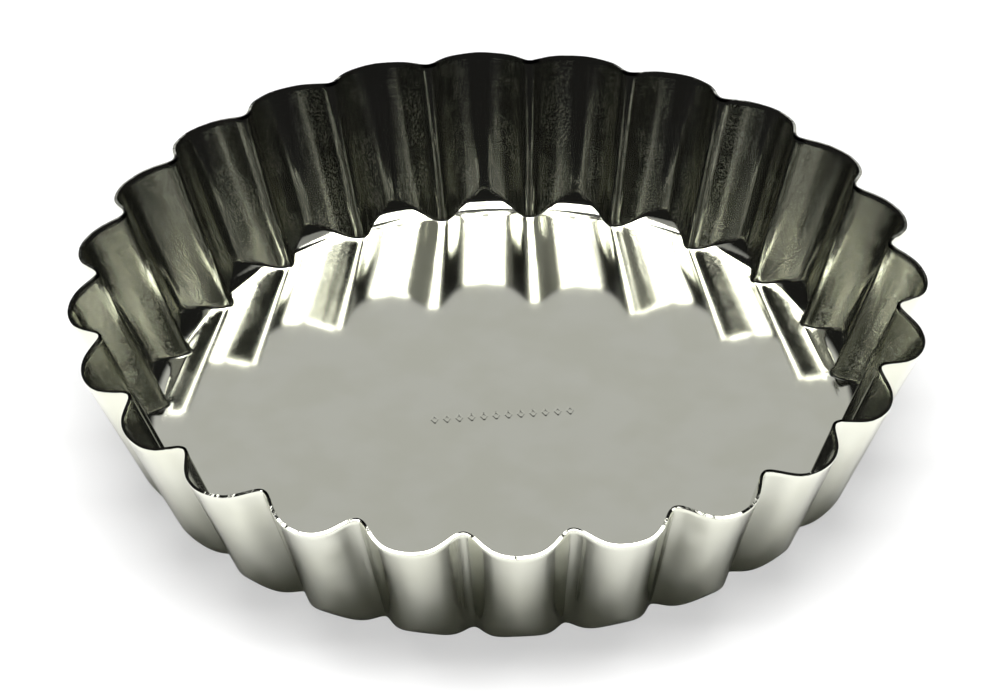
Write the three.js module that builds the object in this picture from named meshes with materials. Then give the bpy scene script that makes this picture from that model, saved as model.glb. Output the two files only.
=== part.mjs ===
// A round fluted tartlet pan, pressed from one sheet of tinplate: a flat floor and a
// flared wall of 24 flutes that ends in a raw-cut rim.
// Millimetres, +Z up. The origin is the centre of the underside, on the pan's axis, and
// one outward flute points along +X.

import * as THREE from 'three';

const SHEET = 0.4; // thickness of the tinplate
const FLUTES = 24;
const COLUMNS_PER_FLUTE = 16; // mesh columns across one flute
const FOOT_STEPS = 4; // mesh strips from the flat floor to the foot of the wall
const FLAT_MARGIN = 0.9; // length of those strips that still lies flat, at least
const ANGLE_STEP = 0.001; // radians, for slopes along a ring

// Each ring gives the inner face of the sheet at one level: its value at an outward flute
// (crest) and at an inward flute (valley), how much blunter than a plain wave the outward
// flute is, and how much it is peaked again at its middle.
const RIM_RADIUS = { crest: 49.63, valley: 46.4, blunt: 0.36, peak: 0.1 };

// The sheet starts as a flat disc, so its edge ends lower where it is drawn out further.
const RIM_HEIGHT = { crest: 17.95, valley: 19.1, blunt: -0.12, peak: 0 };

// Where the straight lines of the wall would meet the floor.
const FOOT_RADIUS = { crest: 42.27, valley: 39.42, blunt: 0.33, peak: 0.12 };

// The punch was turned, with a rounded corner, before its flutes were cut. The floor is
// flat to the start radius, then curves up, and the outward flutes begin part way up the
// rounding. The inward flutes are cut deeper, so their feet fold straight off the floor.
const TURNED_CORNER = { start: 39.85, rounding: 3.63 };
const LARGEST_TURN = Math.PI / 3; // no flute begins further round the corner than this

// The value of a ring's wave at an angle round the axis.
function wave(ring, angle) {
  const phase = FLUTES * angle; // 0 at the crest, pi at the valley
  const middle = (ring.crest + ring.valley) / 2;
  const swing = (ring.crest - ring.valley) / 2;
  const blunt = ring.blunt * (1 - Math.cos(2 * phase));
  const peak = ring.peak * (Math.cos(3 * phase) - Math.cos(phase));
  return middle + swing * Math.cos(phase) + blunt + peak;
}

// A point at a radius, angle and height.
function polar(radius, angle, height) {
  return new THREE.Vector3(radius * Math.cos(angle), radius * Math.sin(angle), height);
}

// The inner face of the turned dish at a length along its profile from where the corner
// starts, and the direction outward through the sheet there.
function turnedDish(length, angle) {
  const { start, rounding } = TURNED_CORNER;
  const turn = Math.max(length, 0) / rounding;
  const radius = start + Math.min(length, 0) + rounding * Math.sin(turn);
  const height = SHEET + rounding * (1 - Math.cos(turn));
  return {
    point: polar(radius, angle, height),
    outward: polar(Math.sin(turn), angle, -Math.cos(turn)),
  };
}

// The length along the dish's profile at which the wall meets it, found by halving.
function footLength(angle) {
  const { start, rounding } = TURNED_CORNER;
  const footRadius = wave(FOOT_RADIUS, angle);
  if (footRadius <= start) {
    return footRadius - start;
  }
  const wallRise = wave(RIM_HEIGHT, angle) - SHEET;
  const flare = (wave(RIM_RADIUS, angle) - footRadius) / wallRise;
  let low = 0;
  let high = LARGEST_TURN;
  for (let round = 0; round < 30; round += 1) {
    const turn = (low + high) / 2;
    const dishRadius = start + rounding * Math.sin(turn);
    const wallRadius = footRadius + flare * rounding * (1 - Math.cos(turn));
    if (dishRadius < wallRadius) {
      low = turn;
    } else {
      high = turn;
    }
  }
  return low * rounding;
}

// The points of the inner face where the wall starts and where it ends.
function wallEnds(angle) {
  return {
    foot: turnedDish(footLength(angle), angle).point,
    rim: polar(wave(RIM_RADIUS, angle), angle, wave(RIM_HEIGHT, angle)),
  };
}

// The directions outward through the wall at its foot and at its rim.
function wallOutward(angle) {
  const ahead = wallEnds(angle + ANGLE_STEP);
  const behind = wallEnds(angle - ANGLE_STEP);
  const { foot, rim } = wallEnds(angle);
  const up = rim.sub(foot).normalize();
  return {
    foot: ahead.foot.sub(behind.foot).cross(up).normalize(),
    rim: ahead.rim.sub(behind.rim).cross(up).normalize(),
  };
}

// The skin of the sheet at one angle: from the axis out over the floor, up the inner
// face, across the cut edge, down the outer face and back to the axis underneath. The
// outer face lies one thickness away and turns the fold at the wall's foot in two facets.
function skinPoints(angle) {
  const meeting = footLength(angle);
  const steps = Array.from({ length: FOOT_STEPS + 1 }, (_, step) => step / FOOT_STEPS);
  const dish = steps.map((t) => {
    return turnedDish(THREE.MathUtils.lerp(-FLAT_MARGIN, meeting, t), angle);
  });
  const { foot, rim } = wallEnds(angle);
  const outward = wallOutward(angle);
  const dishOutward = dish[FOOT_STEPS].outward;
  const betweenOutward = outward.foot.clone().add(dishOutward).normalize();
  return [
    polar(0, angle, SHEET),
    ...dish.map(({ point }) => point),
    rim,
    rim.clone().addScaledVector(outward.rim, SHEET),
    foot.clone().addScaledVector(outward.foot, SHEET),
    foot.clone().addScaledVector(betweenOutward, SHEET),
    ...dish.reverse().map(({ point, outward: down }) => {
      return point.clone().addScaledVector(down, SHEET);
    }),
    polar(0, angle, 0),
  ];
}

// A lathe gives the closed skin of a plain round dish with the same rows of points. Each
// of its columns is then moved onto the fluted skin at that column's angle.
function flutedSheet() {
  const plainProfile = skinPoints(0).map((p) => new THREE.Vector2(p.x, p.z));
  const columns = FLUTES * COLUMNS_PER_FLUTE;
  const geometry = new THREE.LatheGeometry(plainProfile, columns);
  const position = geometry.getAttribute('position');
  for (let column = 0; column <= columns; column += 1) {
    const angle = (-2 * Math.PI * (column % columns)) / columns;
    skinPoints(angle).forEach((point, row) => {
      position.setXYZ(column * plainProfile.length + row, point.x, point.y, point.z);
    });
  }
  geometry.computeVertexNormals();
  return geometry;
}

const tinplate = new THREE.MeshStandardMaterial({
  color: 0xb9bab0,
  roughness: 0.22,
  metalness: 1.0,
});

const pan = new THREE.Mesh(flutedSheet(), tinplate);
pan.name = 'fluted_pan';

const tartPan = new THREE.Group();
tartPan.add(pan);

export default tartPan;
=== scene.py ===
"""A fluted tartlet pan in bright tinplate, standing on a pale studio table.

The pan is one closed sheet. Its inner face is laid out ring by ring, and its outer face is
that face moved out by the thickness of the tin. Lengths are millimetres until the mesh is
made, and the frame is the CAD part's: +Z up, the underside's centre at the origin.
"""

import math

import bpy
import numpy as np
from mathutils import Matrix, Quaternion, Vector


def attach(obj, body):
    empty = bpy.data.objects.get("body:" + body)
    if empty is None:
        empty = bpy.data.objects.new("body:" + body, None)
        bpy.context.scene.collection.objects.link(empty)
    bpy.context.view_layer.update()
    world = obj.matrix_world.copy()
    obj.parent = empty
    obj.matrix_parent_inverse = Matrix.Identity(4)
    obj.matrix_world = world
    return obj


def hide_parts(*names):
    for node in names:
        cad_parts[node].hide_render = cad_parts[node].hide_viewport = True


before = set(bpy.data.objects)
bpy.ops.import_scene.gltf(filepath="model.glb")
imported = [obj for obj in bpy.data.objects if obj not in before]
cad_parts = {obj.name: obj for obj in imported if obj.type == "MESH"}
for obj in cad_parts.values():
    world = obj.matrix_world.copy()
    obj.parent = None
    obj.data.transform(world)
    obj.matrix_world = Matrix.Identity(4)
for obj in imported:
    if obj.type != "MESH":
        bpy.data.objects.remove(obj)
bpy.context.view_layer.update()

MM = 0.001
SHEET = 0.4
FLUTES = 24
COLUMNS = FLUTES * 40  # vertices round a ring of the wall

# Curves round the pan: the value at an outward flute, the value at an inward flute, how
# much fuller the curve is between them than a plain wave, and how much more peaked.
RIM = (49.78, 46.55, 0.36, 0.07)
RIM_HEIGHT = (18.0, 19.04, -0.12, 0.0)
FOOT = (42.27, 39.42, 0.33, 0.12)  # where the straight wall would meet the floor's plane

TURNED_START = 39.85  # radius where the turned rounding leaves the floor
TURNED_RADIUS = 3.63
TURNED_STEEPEST = math.radians(64)
FLOOR_MARGIN = 1.3  # width of flat floor inside TURNED_START that has the wall's columns
FOLD = 0.3  # length of the tight rounding where the wall starts, to each side

FLOOR_ROWS, FOLD_ROWS, WALL_ROWS = 9, 7, 25
# The level of a row: 0 on the floor, 1 at the rim.
FOLD_LEVEL, FOLD_SHARE = 0.02, 0.06
WALL_LEVEL, WALL_SHARE = 0.08, 0.92
SPARSE_UNTIL = 0.95  # the outer face has half the rows up to this level

# Values of the side attribute, from the inner face over the cut edge to the outer face.
INNER, CUT_INNER, CUT_OUTER, OUTER = 1.0, 0.5, 0.1, 0.0

# The cut edge's rings: distance outwards, height over the rim curve, share of the burr, side.
CUT_EDGE = (
    (0.0, -0.05, 0, CUT_INNER),
    (0.02, 0.0, 1, CUT_INNER),
    (0.36, 0.0, 1, CUT_OUTER),
    (0.39, -0.05, 0, CUT_OUTER),
)
BURR_HEIGHT = 0.006
NICK = {"azimuth": -90.3, "width": 0.25, "depth": 0.10}  # in the rim, in degrees and mm

# The pressed wall stands a little askew on the floor.
LEAN = (-0.0093, -0.0079)  # rise per millimetre across, at the rim
SHIFT = (-0.17, -0.15)  # sideways, at the rim

DRAWN_DEPTH = 0.012  # of the draw lines up the wall
WAVE_DEPTH = 0.035  # of the wall's soft waves, at the rim
WAVE_TURN = 2.6  # how far the waves change from foot to rim
DENTS = [  # azimuth in degrees, height, depth outwards, radius
    (-147.7, 15.3, -0.10, 0.7),
    (-132.0, 15.2, -0.12, 0.6),
    (-115.9, 15.0, 0.10, 0.8),
    (-64.4, 15.0, -0.10, 0.7),
    (-33.7, 15.2, -0.10, 0.6),
    (-18.3, 15.0, -0.12, 0.7),
    (-83.7, 15.4, 0.10, 0.7),
]

# The struck mark in the floor: a row of lozenges.
MARK = {"count": 12, "pitch": 1.45, "half_width": 0.46, "half_height": 0.85, "depth": 0.05}
MARK_TURN = math.radians(2.0)

# The floor's vertices: a grid under the mark, rings from the grid to a circle, and rings
# from the circle to the wall's first row.
GRID = (200, 40)
GRID_SIZE = (19.2, 2.7)
CIRCLE_RADIUS = 16.0
GRID_RINGS, CIRCLE_RINGS = 10, 8
UNDERSIDE_RADII = (36.0, 24.0, 12.0)

angles = np.arange(COLUMNS) * 2 * math.pi / COLUMNS
phase = FLUTES * angles


def wave(curve, v):
    crest, valley, full, peak = curve
    plain = (crest + valley) / 2 + (crest - valley) / 2 * np.cos(v)
    return plain + full * (1 - np.cos(2 * v)) + peak * (np.cos(3 * v) - np.cos(v))


def smooth_step(low, high, x):
    t = np.clip((x - low) / (high - low), 0, 1)
    return t * t * (3 - 2 * t)


def ring_noise(lowest, highest, seed, power):
    """A smooth random curve round the pan, with a mean square of 1."""
    random = np.random.default_rng(seed)
    total = np.zeros(COLUMNS)
    for k in range(lowest, highest + 1):
        total += np.cos(k * angles + random.uniform(0, 2 * math.pi)) / k**power
    return total / total.std()


def polar(radius, height):
    radius = np.broadcast_to(radius, angles.shape)
    height = np.broadcast_to(height, angles.shape)
    return np.stack([radius * np.cos(angles), radius * np.sin(angles), height], 1)


def rotated(x, y, angle):
    return x * math.cos(angle) - y * math.sin(angle), x * math.sin(angle) + y * math.cos(angle)


def unit_rows(vectors):
    return vectors / np.linalg.norm(vectors, axis=-1)[..., None]


def bend(a, corner, b, t):
    """A point on the rounding between two faces that meet at a corner."""
    return (1 - t) ** 2 * a + 2 * t * (1 - t) * corner + t**2 * b


def turned_foot(length):
    """A ring on the turned foot, by its length along the section from TURNED_START: flat
    floor where that is negative, then the rounding."""
    turn = np.clip(length, 0, None) / TURNED_RADIUS
    radius = TURNED_START + np.minimum(length, 0) + TURNED_RADIUS * np.sin(turn)
    return polar(radius, SHEET + TURNED_RADIUS * (1 - np.cos(turn)))


def meeting_length(foot, slope):
    """How far along the turned foot the straight wall of each column starts, by bisection."""
    low, high = np.zeros(COLUMNS), np.full(COLUMNS, TURNED_STEEPEST)
    for _ in range(40):
        middle = (low + high) / 2
        inside = TURNED_START + TURNED_RADIUS * np.sin(middle)
        wall = foot + slope * TURNED_RADIUS * (1 - np.cos(middle))
        short = inside < wall
        low, high = np.where(short, middle, low), np.where(short, high, middle)
    return np.where(foot > TURNED_START, low * TURNED_RADIUS, foot - TURNED_START)


def inner_face():
    """Rows of the inner face from the floor to the rim, and each row's level."""
    foot = wave(FOOT, phase)
    rim = polar(wave(RIM, phase), wave(RIM_HEIGHT, phase))
    slope = (wave(RIM, phase) - foot) / (wave(RIM_HEIGHT, phase) - SHEET)
    meeting = meeting_length(foot, slope)
    corner = turned_foot(meeting)
    up = unit_rows(rim - corner)
    rows, level = [], []
    for t in np.linspace(0, 1, FLOOR_ROWS + 1)[:-1]:
        rows.append(turned_foot(-FLOOR_MARGIN * (1 - t) + (meeting - FOLD) * t))
        level.append(FOLD_LEVEL * t)
    for t in np.linspace(0, 1, FOLD_ROWS):
        rows.append(bend(turned_foot(meeting - FOLD), corner, corner + up * FOLD, t))
        level.append(FOLD_LEVEL + FOLD_SHARE * t)
    for t in np.linspace(0, 1, WALL_ROWS + 1)[1:]:
        rows.append((corner + up * FOLD) * (1 - t) + rim * t)
        level.append(WALL_LEVEL + WALL_SHARE * t)
    return np.array(rows), np.array(level)


def outward_normals(rows):
    """Normals of the inner face that point into the sheet."""
    along_ring = np.roll(rows, -1, axis=1) - np.roll(rows, 1, axis=1)
    normals = unit_rows(np.cross(along_ring, np.gradient(rows, axis=0)))
    normals[0] = [0, 0, -1]
    return normals


def roughen(rows, level, normals):
    """Unevenness: draw lines up the wall, soft waves, and small dents under the rim."""
    drawn = ring_noise(lowest=60, highest=420, seed=3, power=0.9) * DRAWN_DEPTH
    slow = ring_noise(lowest=7, highest=40, seed=5, power=0.6)
    other = ring_noise(lowest=9, highest=44, seed=6, power=0.6)
    wall = smooth_step(0.05, 0.2, level)[:, None]
    turn = np.cos(level * WAVE_TURN)[:, None]
    waves = WAVE_DEPTH * (slow * turn + other * (1 - turn)) * level[:, None]
    push = wall * (drawn * (0.7 + 0.3 * turn) + waves)
    x, y, z = rows[:, :, 0], rows[:, :, 1], rows[:, :, 2]
    for azimuth, height, depth, radius in DENTS:
        a = math.radians(azimuth)
        squared = (x * math.sin(a) - y * math.cos(a)) ** 2 + (z - height) ** 2
        near = x * math.cos(a) + y * math.sin(a) > 0
        push = push + near * depth * np.exp(-squared / radius**2)
    return rows + normals * push[:, :, None]


def askew(points):
    """Leans and shifts points by their height above the floor."""
    share = np.clip((points[..., 2:3] - SHEET) / (RIM_HEIGHT[0] - SHEET), 0, 1.1)
    moved = points.copy()
    moved[..., 0:1] += SHIFT[0] * share
    moved[..., 1:2] += SHIFT[1] * share
    moved[..., 2:3] += share * (LEAN[0] * points[..., 0:1] + LEAN[1] * points[..., 1:2])
    return moved


def floor_relief(x, y):
    """Height of the floor's upper face over a flat plane: a soft unevenness."""
    broad = 0.010 * np.sin(x / 9.0 + 1.3) * np.cos(y / 7.5)
    return broad + 0.006 * np.sin((x + 2 * y) / 6.1)


def mark_relief(along, across):
    """A generic row of raised lozenges with sunk centres, struck into the floor's centre."""
    index = np.round(along / MARK["pitch"] - 0.5) + 0.5
    inside = np.abs(index) <= MARK["count"] / 2
    local = along - index * MARK["pitch"]
    lozenge = 1 - (np.abs(local) / MARK["half_width"] + np.abs(across) / MARK["half_height"])
    line = smooth_step(0.0, 0.22, lozenge) - 0.85 * smooth_step(0.28, 0.5, lozenge)
    return inside * MARK["depth"] * line


class Skin:
    """Vertices and faces, with each vertex's level and side."""

    def __init__(self):
        self.points = []
        self.levels = []
        self.sides = []
        self.faces = []
        self.count = 0
        self.flat = (0, 0)  # the range of faces that are shaded flat

    def ring(self, points, level, side):
        """Adds vertices and returns their numbers."""
        self.points.append(points)
        self.levels.append(np.full(len(points), level))
        self.sides.append(np.full(len(points), side))
        self.count += len(points)
        return np.arange(self.count - len(points), self.count)

    def strip(self, a, b):
        """Quads between two rings of one length."""
        c, d = np.roll(b, -1), np.roll(a, -1)
        self.faces.extend(np.stack([a, b, c, d], 1).tolist())

    def double(self, a, b):
        """Joins a ring to the ring outside it, which has twice its vertices."""
        even, odd, following = b[0::2], b[1::2], np.roll(b[0::2], -1)
        next_a = np.roll(a, -1)
        self.faces.extend(np.stack([a, even, odd], 1).tolist())
        self.faces.extend(np.stack([a, odd, next_a], 1).tolist())
        self.faces.extend(np.stack([next_a, odd, following], 1).tolist())


def rectangle_walk(nx, ny):
    """Grid indices round the grid's edge, anticlockwise from the middle of its right side."""
    walk = [(nx, j) for j in range(ny // 2, ny)]
    walk += [(i, ny) for i in range(nx, 0, -1)]
    walk += [(0, j) for j in range(ny, 0, -1)]
    walk += [(i, 0) for i in range(0, nx)]
    walk += [(nx, j) for j in range(0, ny // 2)]
    return walk


def lay_floor(skin, first_row):
    """The floor's upper face inside the wall's first row. Returns its last ring."""
    nx, ny = GRID
    along = (np.arange(nx + 1) / nx - 0.5) * GRID_SIZE[0]
    across = (np.arange(ny + 1) / ny - 0.5) * GRID_SIZE[1]
    along, across = np.meshgrid(along, across, indexing="ij")
    x, y = rotated(along, across, MARK_TURN)
    z = SHEET + floor_relief(x, y) + mark_relief(along, across)
    grid = skin.ring(np.stack([x, y, z], 2).reshape(-1, 3), 0.0, INNER)
    grid = grid.reshape(nx + 1, ny + 1)
    quads = np.stack([grid[:-1, :-1], grid[1:, :-1], grid[1:, 1:], grid[:-1, 1:]], 2)
    skin.faces.extend(quads.reshape(-1, 4).tolist())

    walk = rectangle_walk(nx, ny)
    last = np.array([grid[i, j] for i, j in walk])
    start = np.array([(x[i, j], y[i, j]) for i, j in walk])
    turn = 2 * math.pi / len(walk) * np.arange(len(walk))
    circle = np.stack([np.cos(turn), np.sin(turn)], 1) * CIRCLE_RADIUS
    for t in np.linspace(0, 1, GRID_RINGS + 1)[1:]:
        xy = start * (1 - t) + circle * t
        z = SHEET + floor_relief(xy[:, 0], xy[:, 1])
        ring = skin.ring(np.column_stack([xy, z]), 0.0, INNER)
        skin.strip(last, ring)
        last = ring

    for index, t in enumerate(np.linspace(0, 1, CIRCLE_RINGS + 2)[1:-1]):
        points = polar(CIRCLE_RADIUS, 0.0) * (1 - t) + first_row * t
        points[:, 2] = SHEET + floor_relief(points[:, 0], points[:, 1]) * (1 - t)
        ring = skin.ring(points, 0.0, INNER)
        join = skin.double if index == 0 else skin.strip
        join(last, ring)
        last = ring
    return last


def lay_cut_edge(skin, last, rows, out):
    """The cut edge at the rim, flat-shaded so that it stays crisp. Returns its last ring."""
    up = unit_rows(rows[-1] - rows[-2])
    burr = ring_noise(lowest=20, highest=500, seed=11, power=0.4) * BURR_HEIGHT
    turn = np.degrees(angles) - NICK["azimuth"] % 360
    burr -= NICK["depth"] * np.exp(-((turn / NICK["width"]) ** 2))
    for index, (across, lift, share, side) in enumerate(CUT_EDGE):
        points = rows[-1] + out * across + up * (lift + burr * share)[:, None]
        ring = skin.ring(askew(points), 1.0, side)
        skin.strip(last, ring)
        if index == 0:
            flat_start = len(skin.faces)
        last = ring
    skin.flat = (flat_start, len(skin.faces))
    return last


def lay_outer_face(skin, last, outer, level):
    """The outer face from the rim down, and the underside."""
    rows = len(level)
    for index in range(rows - 2, -1, -1):
        sparse = WALL_LEVEL <= level[index] < SPARSE_UNTIL
        if sparse and (index - rows) % 2:
            continue
        ring = skin.ring(askew(outer[index]), level[index], OUTER)
        skin.strip(last, ring)
        last = ring
    for radius in UNDERSIDE_RADII:
        ring = skin.ring(polar(radius, 0.0), 0.0, OUTER)
        skin.strip(last, ring)
        last = ring
    centre = int(skin.ring(np.array([[0.0, 0.0, 0.0]]), 0.0, OUTER)[0])
    following = np.roll(last, -1)
    skin.faces.extend([[b, a, centre] for a, b in zip(last.tolist(), following.tolist())])


def build_skin():
    skin = Skin()
    rows, level = inner_face()
    rows = roughen(rows, level, outward_normals(rows))
    normals = outward_normals(rows)
    last = lay_floor(skin, rows[0])
    for row, share in zip(rows[:-1], level[:-1]):
        ring = skin.ring(askew(row), share, INNER)
        skin.strip(last, ring)
        last = ring
    last = lay_cut_edge(skin, last, rows, normals[-1])
    lay_outer_face(skin, last, rows + normals * SHEET, level)
    return skin


def make_pan():
    skin = build_skin()
    points = np.concatenate(skin.points) * MM
    mesh = bpy.data.meshes.new("fluted_sheet")
    mesh.from_pydata(points.tolist(), [], skin.faces)
    for name, values in (("level", skin.levels), ("side", skin.sides)):
        attribute = mesh.attributes.new(name, "FLOAT", "POINT")
        attribute.data.foreach_set("value", np.concatenate(values).astype(np.float32))
    smooth = np.ones(len(mesh.polygons), bool)
    smooth[slice(*skin.flat)] = False
    mesh.polygons.foreach_set("use_smooth", smooth)
    mesh.update()
    pan = bpy.data.objects.new("fluted_sheet", mesh)
    bpy.context.scene.collection.objects.link(pan)
    return pan


class Nodes:
    """Short calls for a node tree."""

    def __init__(self, tree):
        self.tree = tree
        tree.nodes.clear()

    def add(self, kind, inputs=None, **settings):
        node = self.tree.nodes.new(kind)
        for key, value in settings.items():
            setattr(node, key, value)
        for key, value in (inputs or {}).items():
            self.put(value, node.inputs[key])
        return node

    def put(self, value, socket):
        if isinstance(value, bpy.types.NodeSocket):
            self.tree.links.new(value, socket)
        else:
            socket.default_value = value

    def math(self, operation, *values):
        node = self.add("ShaderNodeMath", dict(enumerate(values)), operation=operation)
        return node.outputs[0]

    def product(self, first, *others):
        for value in others:
            first = self.math("MULTIPLY", first, value)
        return first

    def total(self, first, *others):
        for value in others:
            first = self.math("ADD", first, value)
        return first

    def step(self, value, low, high, out_low=0.0, out_high=1.0):
        inputs = {
            "Value": value,
            "From Min": low,
            "From Max": high,
            "To Min": out_low,
            "To Max": out_high,
        }
        return self.add("ShaderNodeMapRange", inputs, interpolation_type="SMOOTHSTEP").outputs[0]

    def near(self, value, centre, edge, out_low=0.0, out_high=1.0):
        """A step centred on a value."""
        return self.step(value, centre - edge, centre + edge, out_low, out_high)

    def mix(self, share, a, b):
        node = self.add("ShaderNodeMix", data_type="RGBA")
        for index, value in ((0, share), (6, a), (7, b)):
            self.put(value, node.inputs[index])
        return node.outputs[2]

    def noise(self, vector, scale, detail, rough):
        inputs = {"Vector": vector, "Scale": scale, "Detail": detail, "Roughness": rough}
        return self.add("ShaderNodeTexNoise", inputs).outputs["Fac"]


DRAWN_RADIUS = 46.0  # noise that follows the draw is laid out on a cylinder of this radius
DRAWN_STRETCH = 0.05  # and is this much finer round it than up it

# Bump heights in millimetres.
STREAK_BUMP, BROAD_BUMP, HAIR_BUMP = 0.020, 0.10, 0.004
PEEL_BUMP, SPECKLE_BUMP, GRAIN_BUMP = 0.008, 0.016, 0.0006

TINT_DARK = (0.66, 0.665, 0.575, 1)
TINT_LIGHT = (0.69, 0.695, 0.615, 1)
# painted dark reflection on the cut edge at the tips of the inward flutes
CUT_PAINTED_DARK_LINE = (0.006, 0.006, 0.006, 1)
FLOOR_ROUGHNESS = (0.05, 0.08)
WALL_ROUGHNESS = (0.04, 0.08)
PIT_ROUGHNESS = 0.17  # added in small pits on the flanks of the inner wall


def tinplate():
    material = bpy.data.materials.new("tinplate")
    material.use_nodes = True
    n = Nodes(material.node_tree)
    place = n.add("ShaderNodeTexCoord").outputs["Object"]
    mm = n.add("ShaderNodeVectorMath", {0: place, 3: 1 / MM}, operation="SCALE").outputs[0]
    x, y, z = n.add("ShaderNodeSeparateXYZ", {0: mm}).outputs
    radius = n.math("SQRT", n.total(n.product(x, x), n.product(y, y)))
    shrink = n.math("DIVIDE", DRAWN_RADIUS, n.math("MAXIMUM", radius, 1.0))
    drawn = n.add(
        "ShaderNodeCombineXYZ",
        {0: n.product(x, shrink), 1: n.product(y, shrink), 2: n.product(z, DRAWN_STRETCH)},
    ).outputs[0]
    flute_turn = n.product(n.math("ARCTAN2", y, x), float(FLUTES))

    # Where a point is: up the wall, on a flute's flank, on the inner face.
    level = n.add("ShaderNodeAttribute", attribute_name="level").outputs["Fac"]
    side = n.add("ShaderNodeAttribute", attribute_name="side").outputs["Fac"]
    wall = n.step(level, 0.0, 0.06)
    flank = n.math("ABSOLUTE", n.math("SINE", flute_turn))
    inner = n.step(side, 0.8, 0.9)

    broad = n.noise(drawn, 0.45, 2.0, 0.5)
    streaks = n.noise(drawn, 2.2, 3.0, 0.6)
    hair = n.noise(drawn, 9.0, 2.0, 0.5)
    soft = n.noise(mm, 0.12, 2.0, 0.5)
    patchy = n.noise(mm, 0.22, 2.0, 0.5)
    peel = n.noise(mm, 4.0, 2.0, 0.6)
    speckle = n.noise(mm, 5.0, 1.0, 0.6)
    grain = n.noise(mm, 14.0, 2.0, 0.6)

    height = n.total(
        n.product(wall, STREAK_BUMP, streaks),
        n.product(wall, BROAD_BUMP, broad),
        n.product(wall, HAIR_BUMP, hair),
        n.product(wall, n.step(flank, 0.25, 0.9, 0.12, 1.0), PEEL_BUMP, peel),
        n.product(n.step(flank, 0.4, 0.8, 0.0, SPECKLE_BUMP), inner, wall, speckle),
        n.product(grain, GRAIN_BUMP),
    )
    bump = n.add("ShaderNodeBump", {"Strength": 1.0, "Distance": MM, "Height": height})

    pits = n.product(
        n.step(speckle, 0.49, 0.57),
        n.step(flank, 0.45, 0.8),
        n.step(patchy, 0.42, 0.56, 0.25, 1.0),
        inner,
    )
    rough_floor = n.step(grain, 0.3, 0.7, *FLOOR_ROUGHNESS)
    rough_wall = n.total(
        n.step(streaks, 0.3, 0.7, *WALL_ROUGHNESS),
        n.product(pits, PIT_ROUGHNESS),
    )
    rough = n.total(
        n.product(rough_floor, n.math("SUBTRACT", 1.0, wall)),
        n.product(rough_wall, wall),
    )

    # Painted dark reflection: the inner half of the cut edge is near black at the inward tips.
    tint = n.mix(n.step(soft, 0.35, 0.65), TINT_DARK, TINT_LIGHT)
    cut = n.math("COMPARE", side, CUT_INNER, 0.24)
    inward = n.step(n.math("COSINE", flute_turn), -0.95, -0.80, 1.0, 0.0)
    tint = n.mix(n.product(cut, inward), tint, CUT_PAINTED_DARK_LINE)
    shader = n.add(
        "ShaderNodeBsdfPrincipled",
        {"Base Color": tint, "Metallic": 1.0, "Roughness": rough, "Normal": bump.outputs[0]},
    )
    n.add("ShaderNodeOutputMaterial", {0: shader.outputs[0]})
    return material


TABLE_HALF_SIZE = 6.0  # metres
TABLE_DROP = 0.02 * MM  # the table's depth under the pan
TABLE_WHITE = (0.86, 0.86, 0.855, 1)
# painted shade that the pan mirrors: the table's colour further off, and where it starts and is
# full
TABLE_PAINTED_SHADE = (0.015, 0.015, 0.015, 1)
PAINTED_SHADE_FROM, PAINTED_SHADE_TO = 0.09, 0.13  # metres from the pan's centre
SHADOW_THINNING = 0.55
TOUCHING = 0.1 * MM  # a mirrored ray shorter than this starts on the pan's underside


def table():
    s, z = TABLE_HALF_SIZE, -TABLE_DROP
    mesh = bpy.data.meshes.new("table")
    mesh.from_pydata([(-s, -s, z), (s, -s, z), (s, s, z), (-s, s, z)], [], [(0, 1, 2, 3)])
    top = bpy.data.objects.new("table", mesh)
    bpy.context.scene.collection.objects.link(top)
    material = bpy.data.materials.new("table_white")
    material.use_nodes = True
    n = Nodes(material.node_tree)
    path = n.add("ShaderNodeLightPath").outputs
    seen, mirrored = path["Is Camera Ray"], path["Is Glossy Ray"]

    # Painted shade: mirrored in the pan, the table turns dark a little way off. The camera sees
    # it white.
    place = n.add("ShaderNodeTexCoord").outputs["Object"]
    distance = n.add("ShaderNodeVectorMath", {0: place}, operation="LENGTH").outputs["Value"]
    dark = n.product(n.step(distance, PAINTED_SHADE_FROM, PAINTED_SHADE_TO), mirrored)
    diffuse = n.add("ShaderNodeBsdfDiffuse", {"Color": n.mix(dark, TABLE_WHITE, TABLE_PAINTED_SHADE)})

    # Plain white mixed in thins the shadow that the camera sees.
    white = n.add("ShaderNodeEmission", {"Color": (1, 1, 1, 1), "Strength": 1.0})
    shader = n.add(
        "ShaderNodeMixShader",
        {0: n.product(seen, SHADOW_THINNING), 1: diffuse.outputs[0], 2: white.outputs[0]},
    )

    # From below the table is clear, so that the pan's underside can be seen.
    below = n.product(n.add("ShaderNodeNewGeometry").outputs["Backfacing"], seen)
    touching = n.product(n.math("LESS_THAN", path["Ray Length"], TOUCHING), mirrored)
    clear = n.add("ShaderNodeBsdfTransparent")
    shader = n.add(
        "ShaderNodeMixShader",
        {0: n.math("MAXIMUM", below, touching), 1: shader.outputs[0], 2: clear.outputs[0]},
    )
    n.add("ShaderNodeOutputMaterial", {0: shader.outputs[0]})
    mesh.materials.append(material)


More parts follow.
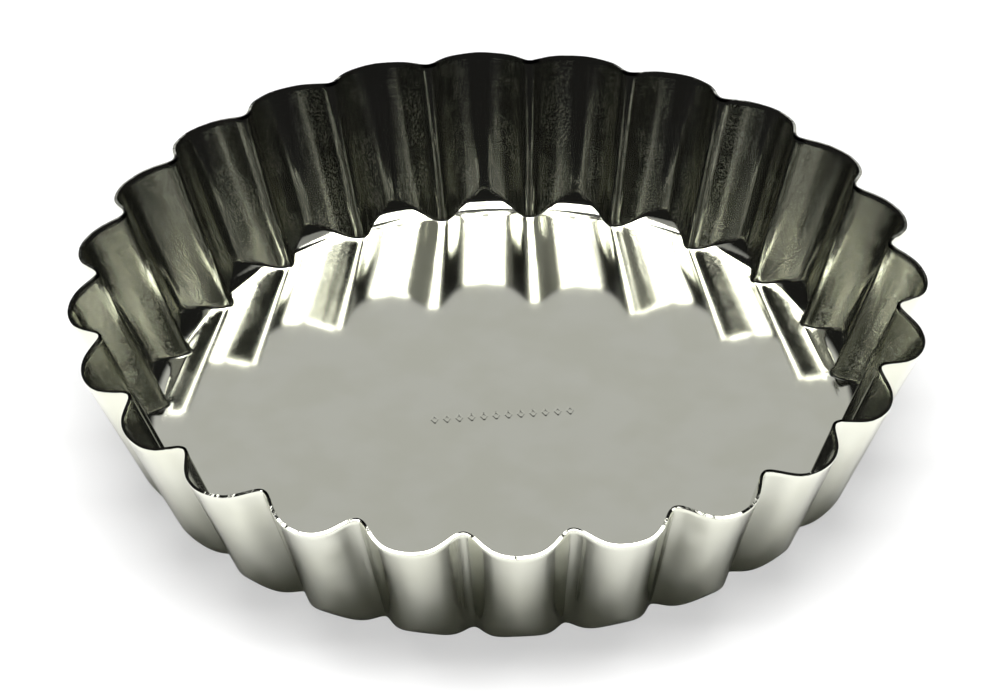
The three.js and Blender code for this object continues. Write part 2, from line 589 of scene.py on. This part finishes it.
# The studio round the pan, as radiance by direction. Arcs run over the pan in degrees:
# 0 is the far horizon, 90 overhead, 180 the horizon behind the camera. Widths and edges
# across are the sideways share of a direction.
ROOM = 0.013
BACKDROP = {"radiance": 0.60, "until": 45, "edge": 4.0, "width": 0.33, "edge_across": 0.12}
BACKDROP_FADE = (31.0, 43.0, 1.06, 0.92)  # a little brighter low down
GLOW = {"radiance": 0.14, "until": 70, "edge": 4.0, "width": 0.18, "edge_across": 0.12}
SOFTBOX = {
    "radiance": 9.0,
    "from": 75,
    "to": 103,
    "edge": 2.5,
    "width": 0.37,
    "edge_across": 0.04,
}
SOFTBOX_GAP = {"from": 5, "to": 6.5, "share": 0.12}  # degrees from overhead, for the floor
SKIRT = {"radiance": 0.30, "width": 0.66, "edge_across": 0.08}  # dim cloth beside the softbox
TABLE_LAMP = {"size": (1.10, 0.74), "height": 1.5, "power": 17.0}


def make_rig(camera):
    """What the studio is fixed to. It turns with the camera and tilts against it, so that the
    floor of the pan mirrors the same part of the studio from every side."""
    rig = bpy.data.objects.new("rig", None)
    bpy.context.scene.collection.objects.link(rig)
    rig.rotation_euler.x = camera.rotation_quaternion.to_euler("XYZ").x
    follow = rig.constraints.new("COPY_ROTATION")
    follow.target = camera
    follow.mix_mode = "ADD"
    follow.invert_x = True
    follow.use_y = False
    return rig


def radiance_round(n, rig):
    """The studio's radiance in each direction."""
    direction = n.add("ShaderNodeTexCoord", object=rig).outputs["Object"]
    unit = n.add("ShaderNodeVectorMath", {0: direction}, operation="NORMALIZE").outputs[0]
    x, y, z = n.add("ShaderNodeSeparateXYZ", {0: unit}).outputs
    arc = n.math("DEGREES", n.math("ARCTAN2", z, y))
    side = n.math("ABSOLUTE", x)

    def across(part, share=1.0):
        return n.near(side, part["width"], part["edge_across"], share, 0.0)

    def under(part):
        return n.near(arc, part["until"], part["edge"], part["radiance"], 0.0)

    band = n.product(
        n.near(arc, SOFTBOX["from"], SOFTBOX["edge"]),
        n.near(arc, SOFTBOX["to"], SOFTBOX["edge"], 1.0, 0.0),
    )
    gap = n.step(
        z,
        math.cos(math.radians(SOFTBOX_GAP["to"])),
        math.cos(math.radians(SOFTBOX_GAP["from"])),
        1.0,
        SOFTBOX_GAP["share"],
    )
    softbox = n.product(band, across(SOFTBOX), gap, SOFTBOX["radiance"])
    skirt = n.product(band, across(SKIRT, SKIRT["radiance"]))
    backdrop = n.product(under(BACKDROP), n.step(arc, *BACKDROP_FADE), across(BACKDROP))
    over_backdrop = n.near(arc, BACKDROP["until"], BACKDROP["edge"])
    glow = n.product(under(GLOW), over_backdrop, across(GLOW))
    return n.total(n.total(softbox, skirt), n.total(ROOM, backdrop, glow))


def add_table_lamp(rig):
    """A lamp for the table, at the softbox's place, that no mirror shows."""
    data = bpy.data.lights.new("table_lamp", "AREA")
    data.shape = "RECTANGLE"
    data.size, data.size_y = TABLE_LAMP["size"]
    data.energy = TABLE_LAMP["power"]
    lamp = bpy.data.objects.new("table_lamp", data)
    bpy.context.scene.collection.objects.link(lamp)
    lamp.parent = rig
    lamp.location = (0.0, 0.0, TABLE_LAMP["height"])
    lamp.visible_camera = False
    lamp.visible_glossy = False


def studio(camera):
    rig = make_rig(camera)
    world = bpy.data.worlds.new("studio")
    bpy.context.scene.world = world
    world.use_nodes = True
    n = Nodes(world.node_tree)
    # The camera sees plain white. Everything else sees the studio.
    white = n.add("ShaderNodeBackground", {"Color": (1, 1, 1, 1), "Strength": 1.0})
    round_pan = {"Color": (1, 1, 1, 1), "Strength": radiance_round(n, rig)}
    lit = n.add("ShaderNodeBackground", round_pan)
    camera_ray = n.add("ShaderNodeLightPath").outputs["Is Camera Ray"]
    both = n.add("ShaderNodeMixShader", {0: camera_ray, 1: lit.outputs[0], 2: white.outputs[0]})
    n.add("ShaderNodeOutputWorld", {0: both.outputs[0]})
    add_table_lamp(rig)


CAMERA = {
    "azimuth": math.radians(-1.98),
    "elevation": math.radians(36.83),
    "roll": 0.0249,
    "target": (-0.44, 0.015, 10.1),
    "distance": 1.092,  # metres
    "sensor": 36.0,
    "lens": 338.9,
}


def make_camera():
    azimuth, elevation = CAMERA["azimuth"], CAMERA["elevation"]
    back = Vector(
        (
            math.sin(azimuth) * math.cos(elevation),
            -math.cos(azimuth) * math.cos(elevation),
            math.sin(elevation),
        )
    )
    data = bpy.data.cameras.new("camera")
    data.sensor_width = CAMERA["sensor"]
    data.lens = CAMERA["lens"]
    data.clip_end = 50.0
    camera = bpy.data.objects.new("camera", data)
    bpy.context.scene.collection.objects.link(camera)
    camera.rotation_mode = "QUATERNION"
    camera.location = Vector(CAMERA["target"]) * MM + back * CAMERA["distance"]
    roll = Quaternion((0, 0, 1), -CAMERA["roll"])
    camera.rotation_quaternion = (-back).to_track_quat("-Z", "Y") @ roll
    bpy.context.scene.camera = camera
    return camera


pan = make_pan()
pan.data.materials.append(tinplate())
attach(pan, "root")
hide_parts("fluted_pan")
table()
studio(make_camera())

settings = bpy.context.scene.view_settings
settings.view_transform = "Standard"
settings.look = "None"
